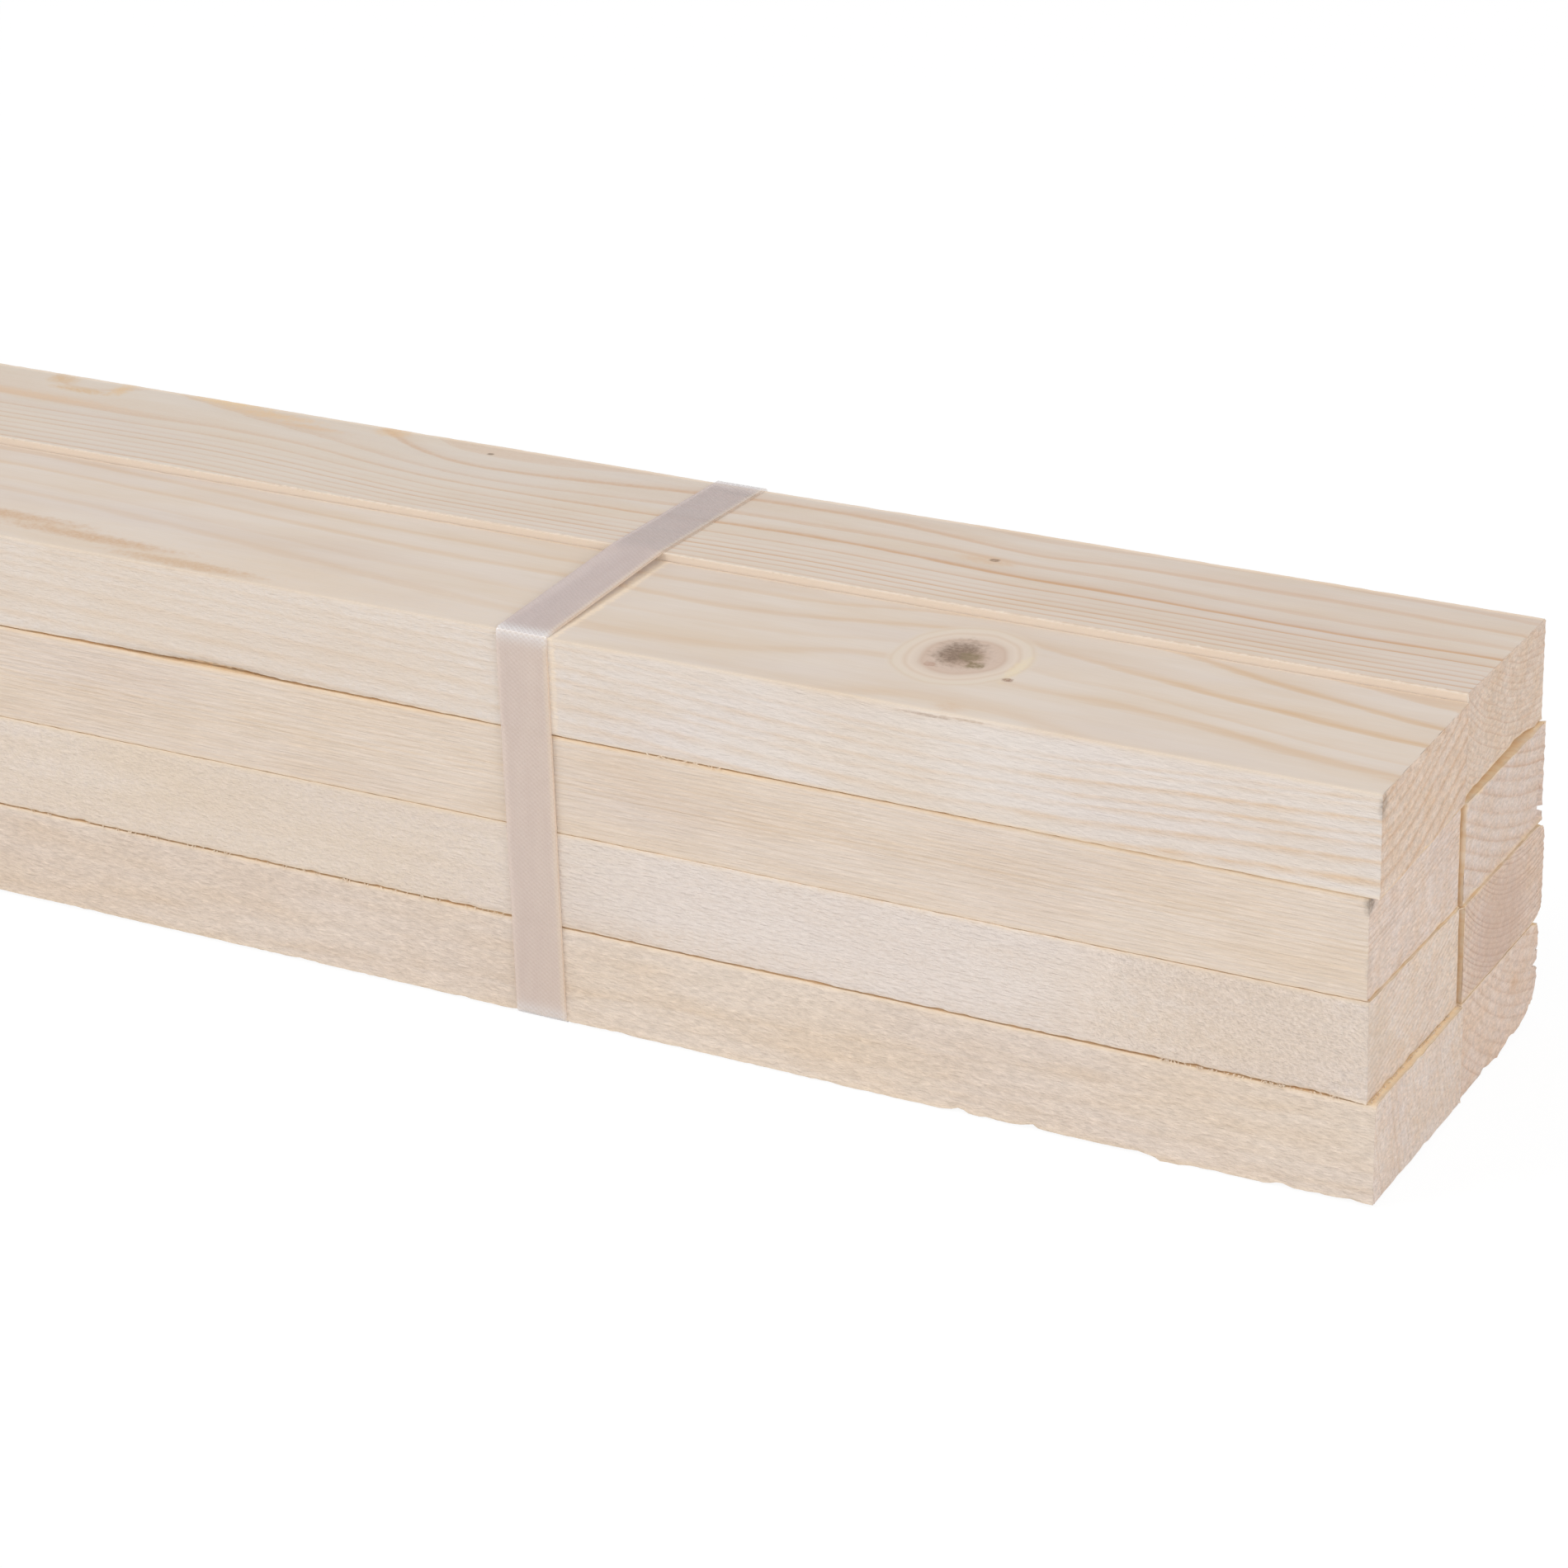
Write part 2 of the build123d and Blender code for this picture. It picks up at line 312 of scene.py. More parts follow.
def batten(node, rings, sawn, steps, material, near_step=1.3, dense_to=335, far_step=12.0,
           ridge=0.06, fibre=(0.06, 6.0), wool=None, end_ridge=0.12, chips=(), torn=(),
           ragged=0.2, glow=0.55, proud=(0.0, 0.0, 0.0), bold=None, seed=0):
    """One batten: the skin of its CAD solid with the relief of sawn spruce cut into it. rings gives
    each point's growth ring, sawn how rough each face in sight is, and steps how far apart its points
    are. The other faces lie inside the stack. fibre is how deep and how long torn fibres are. chips are
    small hollows, as (x, y, z, length, size, depth), and a lip left by the saw has a depth below 0.
    torn holds bunches of fibres that stand off, as (start, end, count, lean, spread). proud is how far
    the near end stands out: all of it, more at the rear, and more at the bottom. bold gives how
    strongly each ring shows."""
    tree, low, high = solid_of(node)
    places, inward, face, to_arris, arris = walk_round(low, high, steps)
    rows = close_rows(near_step, dense_to, far_step, high[0] - low[0])
    x, y, z, near_x, far_x, just_inside = sides_of(tree, low, high, places, inward, rows, proud)

    # How roughly each place is sawn, and how far it lies in the warm light between the battens.
    beside = np.where(arris == face, (face - 1) % 4, (face + 1) % 4)
    own = 0.5 + 0.5 * ease(0.0, 0.9, to_arris)
    roughness = np.array([sawn.get(name, HIDDEN_ROUGHNESS) for name in FACES])
    rough = own * roughness[face] + (1 - own) * roughness[beside]
    rough = np.broadcast_to(rough, x.shape)
    covered = np.array([float(name not in sawn) for name in FACES])
    own_inner = ease(-0.5, 0.9, to_arris)
    inner = own_inner * covered[face] + (1 - own_inner) * np.minimum(covered[face], covered[beside])
    frayed = rows[:, None] + 0.9 * noise(x / 2.0, y / 0.7, z / 0.7, seed + 12)
    inner = inner * (0.4 + 0.6 * ease(0.0, 1.0, frayed))
    under_seam = covered[beside] * (1 - covered[face]) * (beside == FACES.index("top"))
    lit = under_seam * np.exp(-(to_arris / 0.7) ** 2)
    inner = np.maximum(inner, lit * glow * (1 + 0.6 * noise(x / 14, y / 5, z / 5, seed + 14)))
    upright = (face == FACES.index("rear")) | (face == FACES.index("front"))

    # The relief: a place goes inwards by its depth.
    woolly = np.zeros(x.shape) if wool is None else wool(x, y, z) * rough
    ring = rings(x, y, z)
    depth = fibre_relief(x, y, z, rough, woolly, ridge * (1 - latewood(ring)), fibre, seed)
    near_arris = np.exp(-(to_arris / 0.6) ** 2)
    depth = depth + ragged * (0.35 + 0.65 * rough) * near_arris * bites(x, arris, seed)
    depth = depth - ARRIS_SWELL * np.exp(-(to_arris / 0.36) ** 2)
    nicks = np.maximum(0, noise(y / 0.9, z / 0.9, x / 2.0, seed + 13) - 0.15)
    depth = depth + 0.7 * nicks * np.exp(-(rows / 0.7) ** 2)[:, None]
    for chip_x, chip_y, chip_z, chip_length, size, chip_depth in chips:
        apart = ((x - chip_x) / chip_length) ** 2 + ((y - chip_y) / size) ** 2
        apart = apart + ((z - chip_z) / size) ** 2
        rim = 1 + 0.35 * noise(x / 0.8, y / 0.8, z / 0.8, seed + 10)
        depth = depth + chip_depth * np.exp(-apart * rim)
    y = np.maximum(y + inward[:, 0] * depth, FURTHEST_OUT)
    z = np.maximum(z + inward[:, 1] * depth, FURTHEST_OUT)

    # The sides are one grid, and after it come the two end faces and the torn fibres.
    points = [np.stack([x, y, z], axis=-1).reshape(-1, 3)]
    row_count, column_count = x.shape
    index = np.arange(row_count * column_count).reshape(row_count, column_count)
    ahead = np.roll(index, -1, axis=1)
    quads = np.stack([index[:-1], index[1:], ahead[1:], ahead[:-1]], axis=-1).reshape(-1, 4)
    polygons = quads.tolist()
    facts = {
        "ring": [ring.ravel()],
        "sawn": [rough.ravel()],
        "wool": [woolly.ravel()],
        "arris": [np.broadcast_to(near_arris, x.shape).ravel()],
        "inner": [inner.ravel()],
        "deep": [(inner * upright).ravel()],
        "bold": [(bold(ring, x) if bold else np.ones(ring.shape)).ravel()],
        "end": [np.repeat(np.isin(np.arange(row_count), (0, row_count - 1)), column_count) * 1.0],
    }
    first = len(points[0])
    plane = np.column_stack([np.ones(column_count), *just_inside.T])
    both_ends = ((0, 1, NEAR_END_STEP, near_x), (row_count - 1, -1, FAR_END_STEP, far_x))
    for row, outward, spacing, ends in both_ends:
        outline = points[0][index[row]][:, 1:]
        inside, triangles = end_face(outline, spacing, seed + row)
        fit = np.linalg.lstsq(plane, ends, rcond=None)[0]
        flat = fit[0] + inside @ fit[1:]
        end_ring = rings(flat, inside[:, 0], inside[:, 1])
        pitted = 0.5 + 0.5 * noise(inside[:, 0] / 0.6, inside[:, 1] / 0.6, row, seed + 11)
        sunk = end_ridge * (1 - latewood(end_ring)) + 0.13 * pitted
        points.append(np.column_stack([flat - outward * sunk, inside]))
        names = np.concatenate([index[row], first + np.arange(len(inside))])
        for triangle in triangles:
            polygons.append([int(names[corner]) for corner in triangle[::outward]])
        points[0][index[row], 0] -= outward * (end_ridge * (1 - latewood(ring[row])) + 0.04)
        for fact, value in zip(FACTS, (end_ring, 1.0, 0.0, 0.0, 0.0, 0.0, 1.0, 1.0)):
            facts[fact].append(np.broadcast_to(value, flat.shape))
        first += len(inside)
    if torn:
        extra, faces = slivers(torn, FIBRE_THICKNESS, seed)
        points.append(np.array(extra))
        polygons += [[first + corner for corner in one] for one in faces]
        for fact, value in zip(FACTS, (0.3, 1.0, 0.0, 1.0, 0.3, 0.0, 1.0, 0.0)):
            facts[fact].append(np.full(len(extra), value))

    facts = {fact: np.concatenate(values) for fact, values in facts.items()}
    piece = skin_piece(node + "_wood", np.vstack(points), polygons, facts, material)
    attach(piece, "root")
    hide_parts(node)


def linear(red, green, blue):
    """A colour as a screen shows it, from 0 to 255, in the linear light that shaders work in."""
    shares = [channel / 255 for channel in (red, green, blue)]
    return tuple(s / 12.92 if s <= 0.04045 else ((s + 0.055) / 1.055) ** 2.4 for s in shares) + (1.0,)


def put(tree, kind, inputs=(), **settings):
    """Adds a shader node, sets it up, and fills its inputs in order with numbers or with wires."""
    node = tree.nodes.new("ShaderNode" + kind)
    for name, value in settings.items():
        setattr(node, name, value)
    named = inputs.items() if isinstance(inputs, dict) else enumerate(inputs)
    for name, value in named:
        if isinstance(value, bpy.types.NodeSocket):
            tree.links.new(value, node.inputs[name])
        elif value is not None:
            node.inputs[name].default_value = value
    return node


def sum_of(tree, operation, one, two=None, three=None):
    """One sum with up to three levels."""
    return put(tree, "Math", (one, two, three), operation=operation).outputs[0]


def between(tree, amount, first, second, blend="MIX"):
    """Mixes two colours or levels by an amount from 0 to 1."""
    shades = [(value,) * 3 + (1.0,) if isinstance(value, float) else value for value in (first, second)]
    settings = {"data_type": "RGBA", "blend_type": blend}
    return put(tree, "Mix", {0: amount, 6: shades[0], 7: shades[1]}, **settings).outputs[2]


def ramp(tree, value, stops):
    """A level or a colour from stops of (position, level or colour)."""
    node = put(tree, "ValToRGB", (value,))
    while len(node.color_ramp.elements) < len(stops):
        node.color_ramp.elements.new(0.5)
    for element, (position, shade) in zip(node.color_ramp.elements, stops):
        element.position = position
        element.color = linear(*shade) if isinstance(shade, tuple) else (shade, shade, shade, 1.0)
    return node.outputs[0]


def grain(tree, place, size, detail=2.0, roughness=0.5):
    """Noise whose waves are about so many mm long in X, Y and Z, from 0 to 1."""
    scaled = put(tree, "VectorMath", (place, [1 / length for length in size]), operation="MULTIPLY")
    inputs = {"Vector": scaled.outputs[0], "Scale": 1.0, "Detail": detail, "Roughness": roughness}
    return put(tree, "TexNoise", inputs).outputs[0]


# Outwards through a sound knot and the wood that grew round it: the distance, and the colour there.
KNOT = (
    (0.0, (176, 152, 133)), (0.2, (193, 169, 152)), (0.34, (208, 187, 172)), (0.44, (208, 186, 170)),
    (0.475, (204, 181, 164)), (0.53, (216, 199, 184)), (0.6, (222, 206, 191)), (0.645, (216, 197, 179)),
    (0.69, (222, 207, 192)), (0.75, (221, 207, 191)), (0.785, (217, 199, 180)), (0.83, (221, 207, 192)),
    (1.0, (221, 208, 195)),
)


def away_from(tree, place, middle, along, across):
    """The distance from the middle of a spot, with 1 at its edge: so many mm along the batten and so
    many across it."""
    away = put(tree, "VectorMath", (place, middle), operation="SUBTRACT").outputs[0]
    scaled = put(tree, "VectorMath", (away, (1 / along, 1 / across, 1 / across)), operation="MULTIPLY")
    return put(tree, "VectorMath", (scaled.outputs[0],), operation="LENGTH").outputs["Value"]


def spruce(name, smooth_face=((220, 207, 194), (206, 176, 148)),
           sawn_face=((229, 214, 201), (222, 193, 160)), end_grain=((222, 204, 190), (198, 164, 138)),
           contrast=(0.9, 0.7, 0.7), fibres=(6.0, 0.5, 0.05), relief=0.12, marks=(), knots=(),
           uneven=0.8, seed=0.0):
    """Fresh spruce. Each kind of face has an earlywood and a latewood colour, and contrast says how
    dark the latewood is on a smooth face, on a sawn face and on the end grain. fibres says how long
    and how wide the torn fibres of a sawn face are and how much they vary. marks are stains and
    painted light and shade, as (x, y, z, radius along, radius across, colour, strength, softness), and
    knots are (x, y, z, radius along, radius across). uneven is how much stronger some rings are than
    others."""
    material = bpy.data.materials.new(name)
    material.use_nodes = True
    tree = material.node_tree
    tree.nodes.clear()
    spot = put(tree, "TexCoord").outputs["Object"]
    place = put(tree, "VectorMath", (spot, (1 / MM,) * 3), operation="MULTIPLY").outputs[0]
    place = put(tree, "VectorMath", (place, tuple(-BUNDLE_CORNER)), operation="ADD").outputs[0]
    shifted = put(tree, "VectorMath", (place, (0.0, 50.0 * seed, 31.0 * seed)), operation="ADD").outputs[0]
    fact = {key: put(tree, "Attribute", attribute_name=key).outputs["Fac"] for key in FACTS}

    def kinds(smooth_value, sawn_value, end_value):
        """The value for the kind of face that a point is on."""
        mixed = between(tree, fact["sawn"], smooth_value, sawn_value)
        return between(tree, fact["end"], mixed, end_value)

    def times(one, two):
        return sum_of(tree, "MULTIPLY", one, two)

    def patches(size, start, full, detail=2.0, roughness=0.5):
        """Patches of grain, from 0 where the grain is below start to 1 where it is above full."""
        return ramp(tree, grain(tree, shifted, size, detail, roughness), [(start, 0.0), (full, 1.0)])

    # How much latewood a point has, from the number of its ring.
    wobble = sum_of(tree, "MULTIPLY_ADD", grain(tree, shifted, (14, 1.2, 1.2)), 0.16, -0.08)
    rough_wobble = sum_of(tree, "MULTIPLY_ADD", grain(tree, shifted, (7, 1.0, 1.0), 3.0, 0.6), 0.24, -0.12)
    number = sum_of(tree, "ADD", fact["ring"], kinds(wobble, rough_wobble, wobble))
    part = sum_of(tree, "FRACT", number)
    broad = ramp(tree, part, list(zip(RING_PARTS, LATEWOOD)))
    narrow = ramp(tree, part, [(0.0, 0.6), (0.1, 0.0), (0.5, 0.0), (0.88, 1.0), (1.0, 0.6)])
    banded = ramp(tree, part, [(0.0, 0.5), (0.1, 0.0), (0.5, 0.1), (0.8, 0.55), (0.92, 1.0), (1.0, 0.5)])
    late = kinds(broad, narrow, banded)
    year = put(tree, "TexWhiteNoise", {"W": sum_of(tree, "FLOOR", number)}, noise_dimensions="1D").outputs[0]
    late = times(late, sum_of(tree, "MULTIPLY_ADD", year, uneven, 1 - 0.75 * uneven))
    late = times(late, fact["bold"])
    patchy = ramp(tree, grain(tree, shifted, (9, 1.5, 1.5), 3.0, 0.6), [(0.35, 0.4), (0.6, 1.0)])
    late = times(late, kinds(1.0, patchy, 0.9))
    late = times(late, kinds(*contrast))
    late = times(late, sum_of(tree, "MULTIPLY_ADD", fact["wool"], -0.85, 1.0))

    early_colour = kinds(*[linear(*pair[0]) for pair in (smooth_face, sawn_face, end_grain)])
    late_colour = kinds(*[linear(*pair[1]) for pair in (smooth_face, sawn_face, end_grain)])
    colour = between(tree, late, early_colour, late_colour)

    # Broad patches, warmer and cooler.
    warm = patches((45, 9, 9), 0.4, 0.68, 3.0, 0.6)
    colour = between(tree, times(warm, 0.45), colour, linear(248, 238, 222), "MULTIPLY")
    cool = patches((70, 14, 22), 0.45, 0.7)
    colour = between(tree, times(cool, 0.3), colour, linear(241, 239, 245), "MULTIPLY")

    # Fibres, woolly lumps and the pits of the end grain, which make the wood lighter and darker.
    length, width, strength = fibres
    long_fibre = grain(tree, shifted, (16, 0.5, 0.5), 3.0, 0.6)
    dash = grain(tree, shifted, (length, width, width), 3.0, 0.6)
    lump = grain(tree, shifted, (0.85, 0.7, 0.7), 2.0, 0.6)
    dash = ramp(tree, between(tree, fact["wool"], dash, lump), [(0.3, 0.0), (0.7, 1.0)])
    pit = patches((1.5, 1.5, 0.7), 0.32, 0.68, 4.0, 0.75)
    fibre = kinds(long_fibre, dash, pit)
    wide = between(tree, fact["wool"], strength, 0.17)
    wide = kinds(0.045, wide, 0.17)
    light = sum_of(tree, "MULTIPLY_ADD", fibre, times(wide, 2.0), 1.0)
    light = sum_of(tree, "SUBTRACT", light, wide)
    hair = patches((2.4, 0.4, 0.4), 0.58, 0.7)
    light = sum_of(tree, "ADD", light, times(hair, kinds(0.0, 1.1 * strength, 0.08)))
    lighter = put(tree, "VectorMath", (colour,), operation="SCALE")
    tree.links.new(light, lighter.inputs["Scale"])
    colour = lighter.outputs[0]
    mottled = patches((4, 3.5, 2.5), 0.38, 0.62, 3.0, 0.6)
    mottled = times(mottled, kinds(0.0, 0.0, 0.6))
    colour = between(tree, mottled, colour, linear(251, 242, 232), "MULTIPLY")

    # Bright arrises, and the warm light that goes round between the battens.
    colour = between(tree, times(fact["arris"], 0.4), colour, linear(241, 221, 195))
    inside = grain(tree, shifted, (3, 2, 2), 3.0, 0.6)
    inside = ramp(tree, inside, [(0.3, (240, 205, 160)), (0.7, (250, 228, 194))])
    # The faces that stand upright between the two columns are painted darker: painted shade in the gap
    # between the columns.
    inside = between(tree, fact["deep"], inside, linear(237, 227, 218), "MULTIPLY")
    colour = between(tree, times(fact["inner"], 0.95), colour, inside)

    for *middle, along, across in knots:
        radius = away_from(tree, place, middle, along, across)
        warp = grain(tree, shifted, (12, 12, 12), 2.0, 0.4)
        radius = sum_of(tree, "ADD", radius, sum_of(tree, "MULTIPLY_ADD", warp, 0.36, -0.18))
        shade = ramp(tree, times(radius, 0.5), KNOT)
        cracks = patches((0.8, 0.8, 0.8), 0.5, 0.66, 4.0, 0.7)
        cracked = times(cracks, ramp(tree, radius, [(0.3, 0.5), (0.95, 0.0)]))
        shade = between(tree, cracked, shade, linear(158, 128, 112))
        cover = ramp(tree, times(radius, 0.5), [(0.76, 1.0), (0.88, 0.0)])
        colour = between(tree, cover, colour, shade)

    # Stains and painted light and shade, with ragged rims.
    ragged_rim = sum_of(tree, "MULTIPLY_ADD", grain(tree, shifted, (1.6, 1.3, 1.3), 3.0), 1.4, -0.7)
    speckled = ramp(tree, grain(tree, shifted, (0.9, 0.7, 0.7), 4.0, 0.7), [(0.35, 0.5), (0.58, 1.0)])
    for *middle, along, across, shade, amount, softness in marks:
        radius = away_from(tree, place, middle, along, across)
        radius = sum_of(tree, "ADD", radius, ragged_rim)
        inputs = {"Value": radius, "From Min": 1 - softness, "From Max": 1 + softness, "To Min": amount,
                  "To Max": 0.0}
        cover = put(tree, "MapRange", inputs, interpolation_type="SMOOTHSTEP").outputs[0]
        colour = between(tree, times(cover, speckled), colour, linear(*shade))

    # Relief that is finer than the mesh.
    height = times(fibre, kinds(0.1, 1.0, 1.2))
    height = sum_of(tree, "ADD", height, times(late, 0.2))
    fine = grain(tree, shifted, (1.4, 0.3, 0.3))
    height = sum_of(tree, "ADD", height, times(fine, kinds(0.1, 0.5, 0.4)))
    bump = put(tree, "Bump", {"Strength": 1.0, "Distance": relief * MM, "Height": height})
    inputs = {"Base Color": colour, "Roughness": 0.75, "Specular IOR Level": 0.2, "Normal": bump.outputs[0]}
    surface = put(tree, "BsdfPrincipled", inputs)
    tree.links.new(surface.outputs[0], put(tree, "OutputMaterial").inputs[0])
    return material


# How far apart the rows of points are along a batten of the rear column.
REAR_ROWS = {"near_step": 3.0, "dense_to": 70, "far_step": 6.0}

# Its end grain is painted lighter than that of the layers above: painted light that makes up for the shade
# low on the near end.
bottom_front_wood = spruce("spruce_bottom_front", sawn_face=((227, 212, 198), (212, 188, 160)),
                           end_grain=((238, 223, 213), (208, 178, 150)), contrast=(0.9, 0.2, 0.3),
                           fibres=(2.0, 0.7, 0.1), relief=0.2, seed=1.0)
batten(
    "batten_bottom_front",
    rings_round(190.0, 60.0, 1.7, 11, lean=(0.012, 0.02)),
    {"bottom": 1.0, "front": 1.0, "rear": 0.5},
    {"bottom": 2.4, "front": 0.55},
    bottom_front_wood, ridge=0.03, fibre=(0.16, 2.4), ragged=0.3, glow=0.3, seed=11,
    chips=[
        (-43.4, 0.0, 0.0, 1.3, 1.4, -0.8),
        (-40.4, 0.0, 0.0, 2.6, 1.4, -0.8),
        (-35.4, 0.0, 0.0, 4.0, 1.2, -0.35),
        (-22.0, 0.0, 0.0, 9.0, 1.2, -0.5),
        (-106.0, 0.0, 0.0, 30.0, 1.2, -0.3),
        (-150.0, 0.0, 0.0, 90.0, 1.2, -0.3),
        (-88.5, 0.0, 0.0, 1.6, 1.4, 0.9),
        (-72.4, 0.0, 0.0, 1.3, 1.4, 0.8),
        (-18.0, 0.0, 0.0, 1.8, 1.4, 0.8),
    ],
)
bottom_rear_wood = spruce("spruce_bottom_rear", end_grain=((228, 209, 196), (198, 164, 140)),
                          contrast=(0.9, 0.5, 0.43),
                          marks=[(1.2, 79.0, 12.4, 1.5, 2.2, (216, 176, 142), 0.5, 0.6)], seed=2.0)
batten(
    "batten_bottom_rear",
    rings_round(108.0, 78.0, 2.4, 21),
    {"bottom": 1.0, "rear": 1.0, "front": 0.5},
    {"bottom": 1.6, "rear": 0.7},
    bottom_rear_wood, **REAR_ROWS, end_ridge=0.2, seed=21,
    chips=[
        (1.2, 76.6, 0.6, 2.0, 1.2, 0.9),
        (1.2, 70.0, 0.4, 2.0, 1.4, -0.6),
        (1.2, 62.0, 0.2, 2.0, 1.6, 0.8),
    ],
)

# The third layer, counted from the top. The front batten was sawn against the grain in places, where
# its face is woolly, and the rear one has rounded back edges.


def third_front_wool(x, y, z):
    """Woolly close to the near end, and half as much from the strap on."""
    near_end = ease(-64, -54, x + 3 * noise(x / 5, y, z / 5, 32))
    return 0.9 * near_end + 0.5 * ease(-178, -205, x)


# Its end grain is painted lighter than that of the layers above: painted light that makes up for the shade
# low on the near end.
third_front_wood = spruce("spruce_third_front", sawn_face=((228, 215, 205), (220, 198, 176)),
                          end_grain=((245, 229, 217), (212, 182, 156)), contrast=(0.9, 0.15, 0.55),
                          fibres=(2.6, 0.6, 0.06), relief=0.24,
                          marks=[
                              (-28.0, 0.0, 33.0, 38.0, 14.0, (222, 203, 184), 0.5, 0.4),
                              (-115.0, 0.0, 33.0, 60.0, 16.0, (238, 228, 221), 0.6, 0.6),
                              (-262.0, 0.0, 33.0, 70.0, 20.0, (227, 210, 188), 0.5, 0.6),
                          ], seed=3.0)
batten(
    "batten_third_front",
    rings_round(-60.0, 260.0, 1.4, 31),
    {"front": 1.0},
    {"front": 0.55},
    third_front_wood, wool=third_front_wool, ridge=0.02, fibre=(0.05, 3.0), ragged=0.45, glow=0.25,
    proud=(0.15, 0.5, 0.1), seed=31,
    torn=[
        ((-44.0, 0.2, 22.2), (-6.0, 0.2, 22.2), 60, (0.0, -0.4, -0.6), (1.1, 0.15, 0.3)),
        ((-330.0, 0.2, 22.2), (-190.0, 0.2, 22.2), 70, (0.0, -0.4, -0.6), (1.1, 0.15, 0.3)),
        ((0.3, 1.0, 22.2), (0.6, 46.0, 22.2), 90, (0.2, 0.0, -0.6), (0.2, 0.9, 0.3)),
        ((0.2, 46.3, 43.6), (0.2, 46.3, 43.6), 2, (0.9, 2.1, 0.0), (0.1, 0.1, 0.1)),
    ],
)
third_rear_wood = spruce("spruce_third_rear", end_grain=((222, 202, 188), (186, 150, 130)),
                         contrast=(0.9, 0.6, 0.75),
                         marks=[(1.0, 70.0, 31.0, 2.0, 13.0, (202, 174, 158), 0.6, 0.6)], seed=4.0)
batten(
    "batten_third_rear",
    rings_round(85.0, 78.0, 1.15, 41, wander=0.3),
    {"rear": 1.0},
    {"rear": 0.7},
    third_rear_wood, **REAR_ROWS, seed=41,
)

# The second layer, sawn from the same spruce as the rest. The grain of the rear batten tore out along
# its back, and its rings show as wide arcs on its end.

second_front_wood = spruce("spruce_second_front", sawn_face=((227, 212, 198), (219, 195, 168)),
                           end_grain=((226, 210, 200), (200, 170, 148)), contrast=(0.9, 0.4, 0.55),
                           fibres=(9.0, 0.45, 0.065), relief=0.12,
                           marks=[
                               (0.3, 1.0, 64.7, 1.8, 2.4, (142, 129, 118), 1.0, 0.6),
                               (0.0, 0.2, 50.5, 1.0, 2.6, (176, 164, 158), 0.6, 0.8),
                           ], seed=5.0)
batten(
    "batten_second_front",
    rings_round(-40.0, 600.0, 1.25, 51, wander=0.4),
    {"front": 1.0},
    {"front": 0.55},
    second_front_wood, ridge=0.03, fibre=(0.04, 9.0), proud=(-0.35, 0.55, 0.0), seed=51,
)
second_rear_wood = spruce("spruce_second_rear", end_grain=((223, 208, 199), (198, 158, 126)),
                          contrast=(0.9, 0.6, 0.55), seed=6.0)
batten(
    "batten_second_rear",
    rings_round(124.0, 190.0, 3.1, 61, wander=0.5),
    {"rear": 1.0},
    {"rear": 0.7},
    second_rear_wood, **REAR_ROWS, end_ridge=0.25, proud=(0.2, 0.0, 0.0), seed=61,
)

# The two top battens. The front one has a knot the size of a coin on its top face, and the rear one is
# a little thicker, so that its front edge stands up as a bright step. On both, the ring lines of the
# top face are traced along the batten.


# A traced line is evened out over these distances to either side of a point.
EVENED_OVER = (-7, -3.5, 0, 3.5, 7)
IN_FRONT = 0.2


def traced(x, y, stations, lines):
    """A value that stays the same along each traced line. lines holds each line's value and its Y at
    the stations. In front of the first line the value falls by IN_FRONT in each mm."""
    places = []
    for _, traced_y in lines:
        shifted = [np.interp(x + shift, stations, traced_y) for shift in EVENED_OVER]
        places.append(sum(shifted) / len(shifted))
    values = [value for value, _ in lines]
    total = values[0] + IN_FRONT * np.minimum(y - places[0], 0)
    for number in range(len(lines) - 1):
        share = (y - places[number]) / (places[number + 1] - places[number])
        total = total + (values[number + 1] - values[number]) * np.clip(share, 0, 1)
    return total


# The height of the top faces. The rear one falls from its front edge by so much in each mm.
FRONT_TOP = 88.0
REAR_TOP = 89.6
REAR_START = 47.8
REAR_FALL = 0.031


def top_front_rings(x, y, z):
    """The traced lines on the top face, and below it rings that sag along the front face."""
    depth = FRONT_TOP - z
    stations = (-335, -270, -197, -160, -140, -120, -100, -80, -62, -44, -21, 0)
    on_top = traced(x, y, stations, [
        (-3.8, (12, 3, -10, -12, -6, -1, 7, 5.5, 1, -5, -14, -25)),
        (1.2, (25, 19, 10, 9, 13, 22, 20, 18, 18, 16, 12, 8)),
        (2.4, (30, 25, 20, 21, 23, 29, 33, 25, 24, 21, 17, 14)),
        (5.3, (38, 34, 31, 30, 33, 38, 42, 37, 32, 30, 27, 25)),
        (8.5, (45, 41, 39, 40, 41, 46, 49, 52, 48.5, 42.5, 37.2, 34)),
        (10.5, (54, 50, 48, 49, 50, 54, 57, 59, 56, 51, 47, 43.5)),
    ])
    sag_stations = (-400, -320, -197, -160, -130, -95, -62, -34, 0)
    sag = np.interp(x, sag_stations, (-7, -4.9, -0.6, 1.2, 3.2, 4.6, 3.8, 1.7, 0))
    dip = 0.16 * (y - 14 + np.hypot(y - 14, 7))
    below = depth - sag + dip - 0.26
    share = ease(0.2, 1.6, depth)
    level = (1 - share) * (on_top + depth) + share * below
    level = level + 0.25 * noise(x / 60, y / 25, z / 30, 71) + 0.12 * noise(x / 18, y / 9, z / 9, 72)
    ring_depths = (-12.0, -3.8, 1.2, 2.4, 5.3, 8.5, 10.5, 14.0, 18.1, 22.5, 35.0)
    return 0.9 - np.interp(level, ring_depths, (-3, -1, 0, 1, 2, 3, 4, 5, 6, 7, 10))


